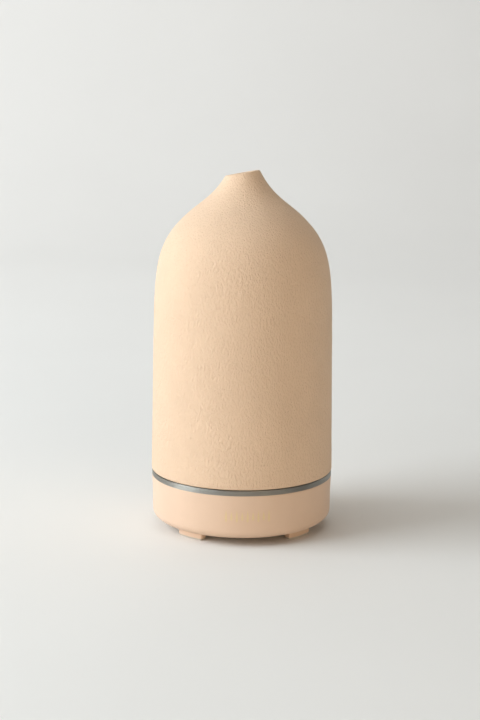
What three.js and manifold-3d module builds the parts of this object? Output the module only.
// Ultrasonic essential oil diffuser: a porcelain cover over a plastic base that holds a water tank,
// an atomiser, a fan and their electronics. Millimetres, +Z up, table at z = 0, the front faces -Y.

import * as THREE from 'three';
import { mergeVertices } from 'three/addons/utils/BufferGeometryUtils.js';
import Module from 'manifold-3d';

const wasm = await Module();
wasm.setup();

// Driving dimensions. Names ending in _Z are heights above the table.
const GAP = 0.3;

const HOUSING_FLOOR_Z = 3.2;
const HOUSING_TOP_Z = 25.8;
const HOUSING_RADIUS = 44.85;
const HOUSING_INNER_RADIUS = 42;
const SERVICE_HOLE_RADIUS = 33.1;
const BUTTON_Z = 15;
const BUTTON_ANGLE = 22;
const JACK_Z = 15.9;

const PAD_THICKNESS = 0.8;
const FOOT_INNER_RADIUS = 34.4;
const FOOT_OUTER_RADIUS = 38.8;
const FOOT_ARC = 23;
const FOOT_CORNER = 0.7;
const FOOT_ANGLES = [-135, -45, 45, 135];

const RING_RADIUS = 44.8;
const RING_TOP_Z = 28.3;
const RING_LIP_Z = 31.5;
const RING_INNER_RADIUS = 38.6;

const COVER_FOOT_Z = 28.6;
const COVER_RADIUS = 45;
const COVER_WALL = 4.2;
const SPOUT_WALL = 3;
const SPOUT_HEIGHT = 147.3;
const SPOUT_SLANT = 10.3;
const SPOUT_FRONT_RISE = 4.9;

const TANK_RADIUS = 38;
const TANK_FLOOR_Z = 27.2;
const TANK_RIM_Z = 70;
const WELL_RADIUS = 8.2;
const DUCT_TOP_Z = 60;
const TANK_BOSSES = [[-24, -14], [24, -14], [24, 14], [-24, 14]];

const CHIMNEY_TOP_Z = 112;

const CLAMP_Z = 20.6;
const CLAMP_SCREW_RADIUS = 17;
const CLAMP_SCREW_ANGLES = [90, 210, 330];

const SERVICE_PLATE_Z = 3.6;
const SERVICE_PLATE_TOP_Z = 5.4;
const FAN_CENTRE_Y = -22;
const FAN_Z = 7.5;
const FAN_SIZE = 30;
const FAN_DEPTH = 8;
const FAN_BLADES = 7;
const FAN_SCREW_OFFSET = 12;

const BOARD_Z = 9;
const BOARD_TOP_Z = 10.6;
const BOARD_SCREWS = [[16, 0], [-16, 22]];
const BOARD_STANDOFFS = [...BOARD_SCREWS, [-16, 0], [16, 22]];

const LED_BOARD_Z = 21.3;
const LED_BOARD_TOP_Z = 22.7;
const LED_RADIUS = 39.4;
const LED_ANGLES = [0, 60, 120, 180, 240, 300];
const LED_RIB_ANGLES = [35, 145, 215, 325];

// Sides of a full circle on large, middle-sized and small round parts.
const ROUND = 40;
const MIDDLE_ROUND = 24;
const SMALL_ROUND = 12;
const SCREW_ROUND = 8;
const FOOT_CURVE_STEPS = 2;

const LOOKS = {
  porcelain: { color: 0xe9cba6, roughness: 0.85, metalness: 0 },
  peachPlastic: { color: 0xe6c7a2, roughness: 0.55, metalness: 0 },
  frosted: { color: 0xb9b7ae, roughness: 0.45, metalness: 0 },
  whitePlastic: { color: 0xf1efe9, roughness: 0.4, metalness: 0 },
  greyPlastic: { color: 0x8d8f90, roughness: 0.6, metalness: 0 },
  blackPlastic: { color: 0x1d1e20, roughness: 0.5, metalness: 0 },
  silicone: { color: 0xd9d6cf, roughness: 0.7, metalness: 0 },
  circuitBoard: { color: 0x1f5a38, roughness: 0.5, metalness: 0 },
  copper: { color: 0xb06a35, roughness: 0.35, metalness: 1 },
  steel: { color: 0xb9bcc0, roughness: 0.3, metalness: 1 },
  brass: { color: 0xc9a55a, roughness: 0.3, metalness: 1 },
  ledEpoxy: { color: 0xf4e9b8, roughness: 0.3, metalness: 0 },
  redWire: { color: 0xb02a24, roughness: 0.5, metalness: 0 },
  blackWire: { color: 0x202022, roughness: 0.5, metalness: 0 },
};

const radians = THREE.MathUtils.degToRad;

// ---- geometry helpers ----

function toSolid(geometry) {
  const bare = geometry.clone();
  bare.deleteAttribute('normal');
  bare.deleteAttribute('uv');
  const merged = mergeVertices(bare);
  const corners = merged.index.array;
  const triVerts = [];
  for (let i = 0; i < corners.length; i += 3) {
    const [a, b, c] = corners.slice(i, i + 3);
    if (a !== b && b !== c && c !== a) triVerts.push(a, b, c);
  }
  return new wasm.Manifold(new wasm.Mesh({
    numProp: 3,
    vertProperties: new Float32Array(merged.attributes.position.array),
    triVerts: new Uint32Array(triVerts),
  }));
}

function toGeometry(solid) {
  const mesh = solid.getMesh();
  const geometry = new THREE.BufferGeometry();
  geometry.setAttribute('position', new THREE.BufferAttribute(new Float32Array(mesh.vertProperties), 3));
  geometry.setIndex(Array.from(mesh.triVerts));
  return geometry;
}

function joined(first, ...others) {
  return toGeometry(others.reduce((solid, other) => solid.add(toSolid(other)), toSolid(first)));
}

function cut(first, ...tools) {
  return toGeometry(tools.reduce((solid, tool) => solid.subtract(toSolid(tool)), toSolid(first)));
}

function copies(geometry, places) {
  return places.map(([x, y]) => geometry.clone().translate(x, y, 0));
}

// Turns an outline of [radius, height] points about the Z axis. An outline off the axis is closed here.
function turned(outline, segments = ROUND) {
  const points = outline.map(([radius, height]) => new THREE.Vector2(radius, height));
  if (THREE.ShapeUtils.area(points) < 0) points.reverse();
  const offAxis = points.some((point) => point.x > 0) && points[0].x > 0;
  if (offAxis) points.push(points[0].clone());
  return new THREE.LatheGeometry(points, segments).rotateX(Math.PI / 2);
}

function disc(radius, bottom, top, segments = SMALL_ROUND) {
  return turned([[0, bottom], [radius, bottom], [radius, top], [0, top]], segments);
}

function washer(inner, outer, bottom, top, segments = ROUND) {
  return turned([[inner, bottom], [outer, bottom], [outer, top], [inner, top]], segments);
}

function block([x0, x1], [y0, y1], [z0, z1]) {
  const box = new THREE.BoxGeometry(x1 - x0, y1 - y0, z1 - z0);
  return box.translate((x0 + x1) / 2, (y0 + y1) / 2, (z0 + z1) / 2);
}

function extruded(shape, bottom, top, curveSegments = 1) {
  const settings = { depth: top - bottom, bevelEnabled: false, curveSegments };
  return new THREE.ExtrudeGeometry(shape, settings).translate(0, 0, bottom);
}

function roundedRectangle([x0, x1], [y0, y1], corner) {
  const shape = new THREE.Shape();
  shape.moveTo(x0 + corner, y0);
  shape.lineTo(x1 - corner, y0);
  shape.absarc(x1 - corner, y0 + corner, corner, -Math.PI / 2, 0);
  shape.lineTo(x1, y1 - corner);
  shape.absarc(x1 - corner, y1 - corner, corner, 0, Math.PI / 2);
  shape.lineTo(x0 + corner, y1);
  shape.absarc(x0 + corner, y1 - corner, corner, Math.PI / 2, Math.PI);
  shape.lineTo(x0, y0 + corner);
  shape.absarc(x0 + corner, y0 + corner, corner, Math.PI, Math.PI * 1.5);
  return shape;
}

// Points on a quarter ellipse from one angle to another, both in degrees.
function ellipseArc([centreR, centreZ], [radiusR, radiusZ], from, to, steps) {
  const curve = new THREE.EllipseCurve(
    centreR, centreZ, radiusR, radiusZ, radians(from), radians(to), to < from);
  return curve.getPoints(steps).map((point) => [point.x, point.y]);
}

function screw(headZ, tipZ, headRadius, shankRadius) {
  const headEnd = headZ + Math.sign(tipZ - headZ) * 1.4;
  return turned([
    [0, headZ], [headRadius, headZ], [headRadius, headEnd],
    [shankRadius, headEnd], [shankRadius, tipZ], [0, tipZ],
  ], SCREW_ROUND);
}

function lead(points, radius) {
  const section = new THREE.Shape().absarc(0, 0, radius, 0, Math.PI * 2);
  const route = new THREE.CatmullRomCurve3(points.map(([x, y, z]) => new THREE.Vector3(x, y, z)));
  return new THREE.ExtrudeGeometry(section, { steps: 8, curveSegments: 3, extrudePath: route });
}

// ---- cover and lid ----

// One side of the porcelain wall, from the foot to the spout, moved in by the wall's thickness.
function coverLine(wall, spoutWall) {
  const shoulder = { radius: 44.1 - wall, height: 62.5 };
  const lean = radians(46.4);
  const waist = {
    radius: 28.45 - wall * Math.cos(lean),
    height: 126.3 - wall * Math.sin(lean),
  };
  const neckLean = radians(28.6);
  const neck = {
    radius: 8.25 - spoutWall * Math.cos(neckLean),
    height: 147.15 - spoutWall * Math.sin(neckLean),
  };
  const tightening = 1 - wall / 30;
  const path = new THREE.Path();
  path.moveTo(COVER_RADIUS - wall, 0);
  path.lineTo(shoulder.radius, shoulder.height);
  path.bezierCurveTo(
    shoulder.radius - 0.5, shoulder.height + 39,
    waist.radius + 20.5 * tightening * Math.sin(lean), waist.height - 20.5 * tightening * Math.cos(lean),
    waist.radius, waist.height);
  path.bezierCurveTo(
    waist.radius - 9.6 * Math.sin(lean), waist.height + 9.6 * Math.cos(lean),
    neck.radius + 13.1 * Math.sin(neckLean), neck.height - 13.1 * Math.cos(neckLean),
    neck.radius, neck.height);
  return path.getPoints(6).map((point) => [point.x, COVER_FOOT_Z + point.y]);
}

function ceramicCover() {
  const foot = 0.8;
  const tip = COVER_FOOT_Z + 151;
  const spoutBore = 5.4;
  const outer = coverLine(0, 0).slice(1);
  const inner = coverLine(COVER_WALL, SPOUT_WALL).slice(1).reverse();
  const shell = turned([
    [COVER_RADIUS - COVER_WALL + foot, COVER_FOOT_Z],
    [COVER_RADIUS - foot, COVER_FOOT_Z],
    [COVER_RADIUS, COVER_FOOT_Z + foot],
    ...outer,
    [7.3, tip],
    [spoutBore, tip],
    [spoutBore, inner[0][1]],
    ...inner.slice(1),
    [COVER_RADIUS - COVER_WALL, COVER_FOOT_Z + foot],
  ]);
  const slantCut = block([-30, 30], [-30, 30], [0, 20]);
  slantCut.rotateY(-radians(SPOUT_SLANT)).rotateX(-radians(SPOUT_FRONT_RISE));
  slantCut.translate(0, 0, COVER_FOOT_Z + SPOUT_HEIGHT);
  return cut(shell, slantCut);
}

function innerLid() {
  const seat = TANK_RIM_Z + 0.1;
  return turned([
    [34.3, 62], [35.6, 62], [35.6, seat], [38.4, seat], [38.4, 71.3], [37.4, 72.1],
    [20, 76.5], [11.4, 80.6], [9.4, 86], [8.6, CHIMNEY_TOP_Z], [7.2, CHIMNEY_TOP_Z],
    [7.9, 86], [10.2, 79.4], [19.4, 74.8], [34.3, 70.9],
  ]);
}

// ---- tank and atomiser ----

function reservoir() {
  const flangeZ = 32.1;
  const flangeTopZ = 33.6;
  const basin = turned([
    [WELL_RADIUS, TANK_FLOOR_Z], [TANK_RADIUS, TANK_FLOOR_Z], [TANK_RADIUS, flangeZ],
    [40.2, flangeZ], [40.2, flangeTopZ], [TANK_RADIUS, flangeTopZ],
    [TANK_RADIUS, TANK_RIM_Z - 0.6], [TANK_RADIUS - 0.6, TANK_RIM_Z], [36.4, TANK_RIM_Z],
    [36.2, 30.9], [34.8, 29.5], [14, 29.4], [WELL_RADIUS, 28.6],
  ]);
  const duct = extruded(roundedRectangle([-9, 9], [-37, -26.5], 2.5), TANK_FLOOR_Z, DUCT_TOP_Z);
  const ductBore = extruded(roundedRectangle([-7, 7], [-34.6, -28.6], 1.5), 20, DUCT_TOP_Z + 5);
  const gasketWall = washer(12.4, 14.4, 22.6, TANK_FLOOR_Z + 0.4, MIDDLE_ROUND);
  const clampBoss = disc(2.7, 22.6, TANK_FLOOR_Z + 0.4, 10);
  const clampPilot = disc(1.3, 20, 26.8, SCREW_ROUND);
  const longBoss = disc(3, 5.6, TANK_FLOOR_Z + 0.4, 10);
  const longPilot = disc(1.3, 5, 16, SCREW_ROUND);
  const clampPlaces = CLAMP_SCREW_ANGLES.map(clampScrewPlace);
  const bosses = [...copies(clampBoss, clampPlaces), ...copies(longBoss, TANK_BOSSES)];
  const pilots = [...copies(clampPilot, clampPlaces), ...copies(longPilot, TANK_BOSSES)];
  return cut(joined(basin, duct, gasketWall, ...bosses), ductBore, ...pilots);
}

function clampScrewPlace(angle) {
  const turn = radians(angle);
  return [CLAMP_SCREW_RADIUS * Math.cos(turn), CLAMP_SCREW_RADIUS * Math.sin(turn)];
}

function transducerGasket() {
  return turned([
    [8.4, 23.2], [12, 23.2], [12, 26.9], [8.4, 26.9],
    [8.4, 25.8], [10.3, 25.8], [10.3, 24.2], [8.4, 24.2],
  ], MIDDLE_ROUND);
}

function transducerClamp() {
  const ring = turned([
    [8.6, CLAMP_Z], [20.4, CLAMP_Z], [20.4, 22.3], [11.9, 22.3], [11.9, 23], [8.6, 23],
  ], MIDDLE_ROUND);
  const hole = disc(1.4, CLAMP_Z - 1, 24, SCREW_ROUND);
  return cut(ring, ...copies(hole, CLAMP_SCREW_ANGLES.map(clampScrewPlace)));
}

// ---- ring, housing and service plate ----

function lightRing() {
  const edge = 0.25;
  return turned([
    [RING_INNER_RADIUS, HOUSING_TOP_Z], [RING_RADIUS, HOUSING_TOP_Z], [RING_RADIUS, RING_TOP_Z - edge],
    [RING_RADIUS - edge, RING_TOP_Z], [40.3, RING_TOP_Z], [40.1, RING_LIP_Z],
    [RING_INNER_RADIUS, RING_LIP_Z],
  ]);
}

// A foot's outline, centred on +X: a band along an arc about the Z axis with its corners cut off.
function footOutline(inset) {
  const inner = FOOT_INNER_RADIUS + inset;
  const outer = FOOT_OUTER_RADIUS - inset;
  const half = radians(FOOT_ARC / 2) - inset / outer;
  const outerHalf = half - FOOT_CORNER / outer;
  const innerHalf = half - FOOT_CORNER / inner;
  const onEnd = (radius, side) => [radius * Math.cos(half), side * radius * Math.sin(half)];
  const shape = new THREE.Shape();
  shape.absarc(0, 0, outer, -outerHalf, outerHalf);
  shape.lineTo(...onEnd(outer - FOOT_CORNER, 1));
  shape.lineTo(...onEnd(inner + FOOT_CORNER, 1));
  shape.absarc(0, 0, inner, innerHalf, -innerHalf, true);
  shape.lineTo(...onEnd(inner + FOOT_CORNER, -1));
  shape.lineTo(...onEnd(outer - FOOT_CORNER, -1));
  return shape;
}

function baseHousing() {
  const edgeRadiusR = 7.6;
  const edgeRadiusZ = 5.1;
  const sideFoot = 44.36;
  const outerEdge = ellipseArc(
    [sideFoot - edgeRadiusR, HOUSING_FLOOR_Z + edgeRadiusZ], [edgeRadiusR, edgeRadiusZ], -90, 0, 5);
  const innerEdge = ellipseArc([36.6, 10.5], [5.3, 5.1], 0, -90, 3);
  const shell = turned([
    [31.2, 5.6], [SERVICE_HOLE_RADIUS, 5.6], [SERVICE_HOLE_RADIUS, HOUSING_FLOOR_Z],
    ...outerEdge,
    [44.5, 18.5], [HOUSING_RADIUS, HOUSING_TOP_Z], [HOUSING_INNER_RADIUS, HOUSING_TOP_Z],
    ...innerEdge,
    [34.8, 5.4], [34.6, 7], [31.2, 7],
  ]);
  const foot = extruded(footOutline(0), PAD_THICKNESS, HOUSING_FLOOR_Z + 0.6, FOOT_CURVE_STEPS);
  const feet = FOOT_ANGLES.map((angle) => foot.clone().rotateZ(radians(angle)));
  const rib = block([39, 42.4], [-1.2, 1.2], [5.2, LED_BOARD_Z]);
  const ribs = LED_RIB_ANGLES.map((angle) => rib.clone().rotateZ(radians(angle)));
  const buttonHole = disc(4.3, 38, 50, 16).rotateX(-Math.PI / 2).translate(0, 0, BUTTON_Z);
  const buttonHoles = [-1, 1].map((side) => buttonHole.clone().rotateZ(radians(side * BUTTON_ANGLE)));
  const jackHole = disc(4.6, 38, 50, 16).rotateX(-Math.PI / 2).translate(0, 0, JACK_Z);
  return cut(joined(shell, ...feet, ...ribs), ...buttonHoles, jackHole);
}

function servicePlate() {
  const fanScrews = [-1, 1].map((side) => [side * FAN_SCREW_OFFSET, FAN_CENTRE_Y + FAN_SCREW_OFFSET]);
  const plate = disc(SERVICE_HOLE_RADIUS - 0.4, SERVICE_PLATE_Z, SERVICE_PLATE_TOP_Z, ROUND);
  const standoffs = copies(disc(2.4, SERVICE_PLATE_TOP_Z - 0.5, BOARD_Z, 10), BOARD_STANDOFFS);
  const fanPosts = copies(disc(2.3, SERVICE_PLATE_TOP_Z - 0.5, FAN_Z, 10), fanScrews);
  const screwHoles = copies(disc(1.6, 3, 6, SCREW_ROUND), TANK_BOSSES);
  const headRecesses = copies(disc(3, 3, 4.6, 10), TANK_BOSSES);
  const pilots = copies(disc(1.3, 4.6, 12, SCREW_ROUND), [...BOARD_SCREWS, ...fanScrews]);
  const slots = [];
  for (let y = -28; y <= -13; y += 3.75) {
    const half = Math.min(9, Math.sqrt(29 ** 2 - y ** 2));
    slots.push(extruded(roundedRectangle([-half, half], [y - 1, y + 1], 0.9), 3, 6));
  }
  const filled = joined(plate, ...standoffs, ...fanPosts);
  return cut(filled, ...screwHoles, ...headRecesses, ...pilots, ...slots);
}

// ---- fan, in its own frame: origin at the middle of its underside ----

function fanFrame() {
  const half = FAN_SIZE / 2;
  const frame = extruded(roundedRectangle([-half, half], [-half, half], 2.5), 0, FAN_DEPTH);
  const bore = disc(13.6, -1, FAN_DEPTH + 1, MIDDLE_ROUND);
  const earClearance = disc(3.6, 3, FAN_DEPTH + 1, 10);
  const screwHole = disc(1.6, -1, 4, SCREW_ROUND);
  const corners = [[-1, -1], [1, -1], [1, 1], [-1, 1]].map((corner) => (
    corner.map((side) => side * FAN_SCREW_OFFSET)));
  const holes = [...copies(earClearance, corners), ...copies(screwHole, corners)];
  const motorPlate = disc(6.4, 0, 1.1, 16);
  const strut = block([5, 14], [-1, 1], [0, 1.1]);
  const struts = [30, 150, 270].map((angle) => strut.clone().rotateZ(radians(angle)));
  return joined(cut(frame, bore, ...holes), motorPlate, ...struts);
}

function fanStator() {
  const core = disc(2.2, 1.1, 5.7, 12);
  const coil = block([1, 4.7], [-1.3, 1.3], [1.6, 5.2]);
  const coils = [0, 90, 180, 270].map((angle) => coil.clone().rotateZ(radians(angle)));
  return cut(joined(core, ...coils), disc(0.85, 0, 8, 12));
}

function fanRotor() {
  const cup = turned([
    [0, 1.6], [0.75, 1.6], [0.75, 6.4], [5.3, 6.4], [5.3, 1.5],
    [6.4, 1.5], [6.4, 6.8], [5.8, 7.4], [0, 7.4],
  ], 20);
  const blade = block([5.9, 13], [-3.1, 3.1], [-0.4, 0.4]).rotateX(radians(38)).translate(0, 0, 4.4);
  const blades = [];
  for (let i = 0; i < FAN_BLADES; i += 1) {
    blades.push(blade.clone().rotateZ((i * 2 * Math.PI) / FAN_BLADES));
  }
  return joined(cup, ...blades);
}

// Hood that carries the fan's air forward and up into the duct of the tank.
function airGuide() {
  const side = (points) => new THREE.Shape(points.map(([y, z]) => new THREE.Vector2(y, z)));
  const alongX = (shape, half) => extruded(shape, -half, half).rotateX(Math.PI / 2).rotateZ(Math.PI / 2);
  const wall = 1.2;
  const low = FAN_Z + FAN_DEPTH + GAP;
  const hood = alongX(side([[-36, low], [-7.5, low], [-7.5, 17.5], [-25.5, 20.2], [-36, 20.2]]), 15);
  const stack = block([-8.2, 8.2], [-36, -25.5], [18, 26.8]);
  const hoodHollow = alongX(side([
    [-36 + wall, low - 1], [-7.5 - wall, low - 1], [-7.5 - wall, 16.4],
    [-25.5 - wall, 19], [-36 + wall, 19],
  ]), 15 - wall);
  const stackHollow = block([-7, 7], [-36 + wall, -25.5 - wall], [17, 28]);
  return cut(joined(hood, stack), hoodHollow, stackHollow);
}

// ---- electronics ----

function mainBoard() {
  const board = extruded(roundedRectangle([-20, 20], [-5.5, 34], 2), BOARD_Z, BOARD_TOP_Z);
  const hole = disc(1.4, BOARD_Z - 1, BOARD_TOP_Z + 1, SCREW_ROUND);
  return cut(board, ...copies(hole, BOARD_SCREWS));
}

function jackBody() {
  const alongY = (radius, start, end) => (
    disc(radius, start, end, 16).rotateX(-Math.PI / 2).translate(0, 0, JACK_Z));
  const body = block([-4.5, 4.5], [29.5, 40.5], [BOARD_TOP_Z, BOARD_TOP_Z + 10.4]);
  return cut(joined(body, alongY(4.2, 40, 43.4)), alongY(3.1, 33.5, 45), alongY(1.3, 28, 35));
}

function jackPin() {
  return disc(1, 28.5, 42.2, 12).rotateX(-Math.PI / 2).translate(0, 0, JACK_Z);
}

function ledBoard() {
  return washer(37.2, 41.5, LED_BOARD_Z, LED_BOARD_TOP_Z);
}

function ledChip() {
  const top = LED_BOARD_TOP_Z + 1.3;
  return block([LED_RADIUS - 1.4, LED_RADIUS + 1.4], [-1.75, 1.75], [LED_BOARD_TOP_Z, top]);
}

function inductor() {
  const z = BOARD_TOP_Z;
  return turned([
    [0, z], [4, z], [4, z + 1], [3.1, z + 1.4],
    [3.1, z + 4.6], [4, z + 5], [4, z + 6], [0, z + 6],
  ], 16);
}

function capacitor() {
  const z = BOARD_TOP_Z;
  return turned([
    [0, z], [3.2, z], [3.2, z + 1], [2.9, z + 1.4],
    [3.2, z + 1.8], [3.2, z + 8.2], [2.8, z + 8.6], [0, z + 8.6],
  ], 16);
}

// Block on the board, centred on a place, with the given width, length and height.
function chip([x, y], [width, length, height]) {
  return block([-width / 2, width / 2], [-length / 2, length / 2], [BOARD_TOP_Z, BOARD_TOP_Z + height])
    .translate(x, y, 0);
}

function connector([x, y], [width, length, height]) {
  const wall = 0.8;
  const depth = 3;
  const body = chip([x, y], [width, length, height]);
  const socket = chip([x, y], [width - wall * 2, length - wall * 2, depth + 1]);
  return cut(body, socket.translate(0, 0, height - depth));
}

// ---- buttons, in their own frame: the push direction is -Y, from the back towards the axis ----

function pushButton() {
  return turned([
    [0, 38.3], [1.9, 38.3], [1.9, 40.2], [5.3, 40.2], [5.3, 41.1],
    [4, 41.1], [4, 44.9], [3.7, 45.2], [0, 45.2],
  ], 16).rotateX(-Math.PI / 2).translate(0, 0, BUTTON_Z);
}

function switchPlunger() {
  return disc(1.5, 35.6, 38.1, 12).rotateX(-Math.PI / 2).translate(0, 0, BUTTON_Z);
}

function switchBody() {
  const body = block([-3.2, 3.2], [32.7, 36.4], [BOARD_TOP_Z + 0.1, 18.7]);
  return cut(body, disc(1.8, 34.2, 40, 12).rotateX(-Math.PI / 2).translate(0, 0, BUTTON_Z));
}

// ---- assembly ----

function part(group, name, geometry, look) {
  const mesh = new THREE.Mesh(geometry, new THREE.MeshStandardMaterial(LOOKS[look]));
  mesh.name = name;
  group.add(mesh);
  return mesh;
}

function waterSide() {
  const group = new THREE.Group();
  part(group, 'ceramic_cover', ceramicCover(), 'porcelain');
  part(group, 'inner_lid', innerLid(), 'whitePlastic');
  part(group, 'reservoir', reservoir(), 'whitePlastic');
  part(group, 'overflow_seal', washer(38.8, 40, RING_LIP_Z, 32.1), 'silicone');
  part(group, 'transducer_disc', disc(10, 24.4, 25.6, MIDDLE_ROUND), 'steel');
  part(group, 'transducer_gasket', transducerGasket(), 'silicone');
  part(group, 'transducer_clamp', transducerClamp(), 'greyPlastic');
  CLAMP_SCREW_ANGLES.forEach((angle, i) => {
    const [x, y] = clampScrewPlace(angle);
    const fastener = part(group, `clamp_screw_${i + 1}`, screw(CLAMP_Z - 1.4, 26.4, 2.2, 1), 'steel');
    fastener.position.set(x, y, 0);
  });
  return group;
}

function base() {
  const group = new THREE.Group();
  part(group, 'base_housing', baseHousing(), 'peachPlastic');
  part(group, 'light_ring', lightRing(), 'frosted');
  part(group, 'bottom_cover', servicePlate(), 'peachPlastic');
  FOOT_ANGLES.forEach((angle, i) => {
    const pad = extruded(footOutline(0.35), 0, PAD_THICKNESS, FOOT_CURVE_STEPS).rotateZ(radians(angle));
    part(group, `foot_pad_${i + 1}`, pad, 'silicone');
  });
  TANK_BOSSES.forEach(([x, y], i) => {
    part(group, `base_screw_${i + 1}`, screw(3.2, 15, 2.6, 1), 'steel').position.set(x, y, 0);
  });
  part(group, 'air_guide', airGuide(), 'greyPlastic');
  return group;
}

function fan() {
  const group = new THREE.Group();
  group.position.set(0, FAN_CENTRE_Y, FAN_Z);
  part(group, 'fan_frame', fanFrame(), 'blackPlastic');
  part(group, 'fan_stator', fanStator(), 'copper');
  part(group, 'fan_rotor', fanRotor(), 'blackPlastic');
  [-1, 1].forEach((side, i) => {
    const fastener = part(group, `fan_screw_${i + 1}`, screw(4.4, -2, 2.4, 1), 'steel');
    fastener.position.set(side * FAN_SCREW_OFFSET, FAN_SCREW_OFFSET, 0);
  });
  return group;
}

function electronics() {
  const group = new THREE.Group();
  part(group, 'main_board', mainBoard(), 'circuitBoard');
  BOARD_SCREWS.forEach(([x, y], i) => {
    part(group, `board_screw_${i + 1}`, screw(12, 6, 2.2, 1), 'steel').position.set(x, y, 0);
  });
  part(group, 'dc_jack', jackBody(), 'blackPlastic');
  part(group, 'dc_jack_pin', jackPin(), 'brass');
  part(group, 'inductor', inductor(), 'blackPlastic').position.set(-9.5, 5, 0);
  part(group, 'capacitor', capacitor(), 'steel').position.set(12, 6.5, 0);
  part(group, 'driver_chip', chip([0, 8], [6, 5, 1.7]), 'blackPlastic');
  part(group, 'control_chip', chip([3, 20], [8, 6, 1.8]), 'blackPlastic');
  part(group, 'transistor', chip([13.5, 14], [8, 3, 9.4]), 'blackPlastic');
  part(group, 'fan_connector', connector([-8, -2.5], [6, 4.6, 5]), 'whitePlastic');
  part(group, 'transducer_connector', connector([4, -2.5], [6, 4.6, 5]), 'whitePlastic');
  part(group, 'led_connector', connector([-16.5, 10], [4.6, 6, 5]), 'whitePlastic');
  part(group, 'led_board', ledBoard(), 'circuitBoard');
  LED_ANGLES.forEach((angle, i) => {
    part(group, `led_${i + 1}`, ledChip().rotateZ(radians(angle)), 'ledEpoxy');
  });
  return group;
}

function leads() {
  const group = new THREE.Group();
  const discRed = [
    [2.9, -2.5, 12.9], [2.9, -2.5, 16.5], [1, -1, 20], [-1.5, 0.5, 22.3], [-1.5, 0.5, 24.1],
  ];
  const discBlack = [
    [5.1, -2.5, 12.9], [5.1, -2.5, 16.5], [5.5, -0.5, 20], [4, 1.5, 22.3], [4, 1.5, 24.1],
  ];
  part(group, 'transducer_lead_red', lead(discRed, 0.6), 'redWire');
  part(group, 'transducer_lead_black', lead(discBlack, 0.6), 'blackWire');
  const fanRed = [
    [-9, -2.5, 12.9], [-9, -2.6, 15.6], [-9.2, -4.2, 17], [-9.4, -5.6, 15.2], [-9.4, -6.7, 13.4],
  ];
  const fanBlack = fanRed.map(([x, y, z]) => [x + 2.1, y, z]);
  part(group, 'fan_lead_red', lead(fanRed, 0.5), 'redWire');
  part(group, 'fan_lead_black', lead(fanBlack, 0.5), 'blackWire');
  const ledRoute = [
    [-16.5, 10, 12.9], [-16.5, 10, 16.5], [-18, 17, 19], [-26, 21, 19],
    [-33.5, 19, 18.6], [-35, 18, 20.9],
  ];
  part(group, 'led_lead', lead(ledRoute, 0.8), 'blackWire');
  return group;
}

function buttonSet(name, side) {
  const group = new THREE.Group();
  group.rotation.z = radians(side * BUTTON_ANGLE);
  part(group, `${name}_button`, pushButton(), 'peachPlastic');
  part(group, `${name}_plunger`, switchPlunger(), 'blackPlastic');
  part(group, `${name}_switch`, switchBody(), 'blackPlastic');
  return group;
}

const diffuser = new THREE.Group();
diffuser.add(waterSide(), base(), fan(), electronics(), leads());
diffuser.add(buttonSet('mist', 1), buttonSet('light', -1));

export default diffuser;
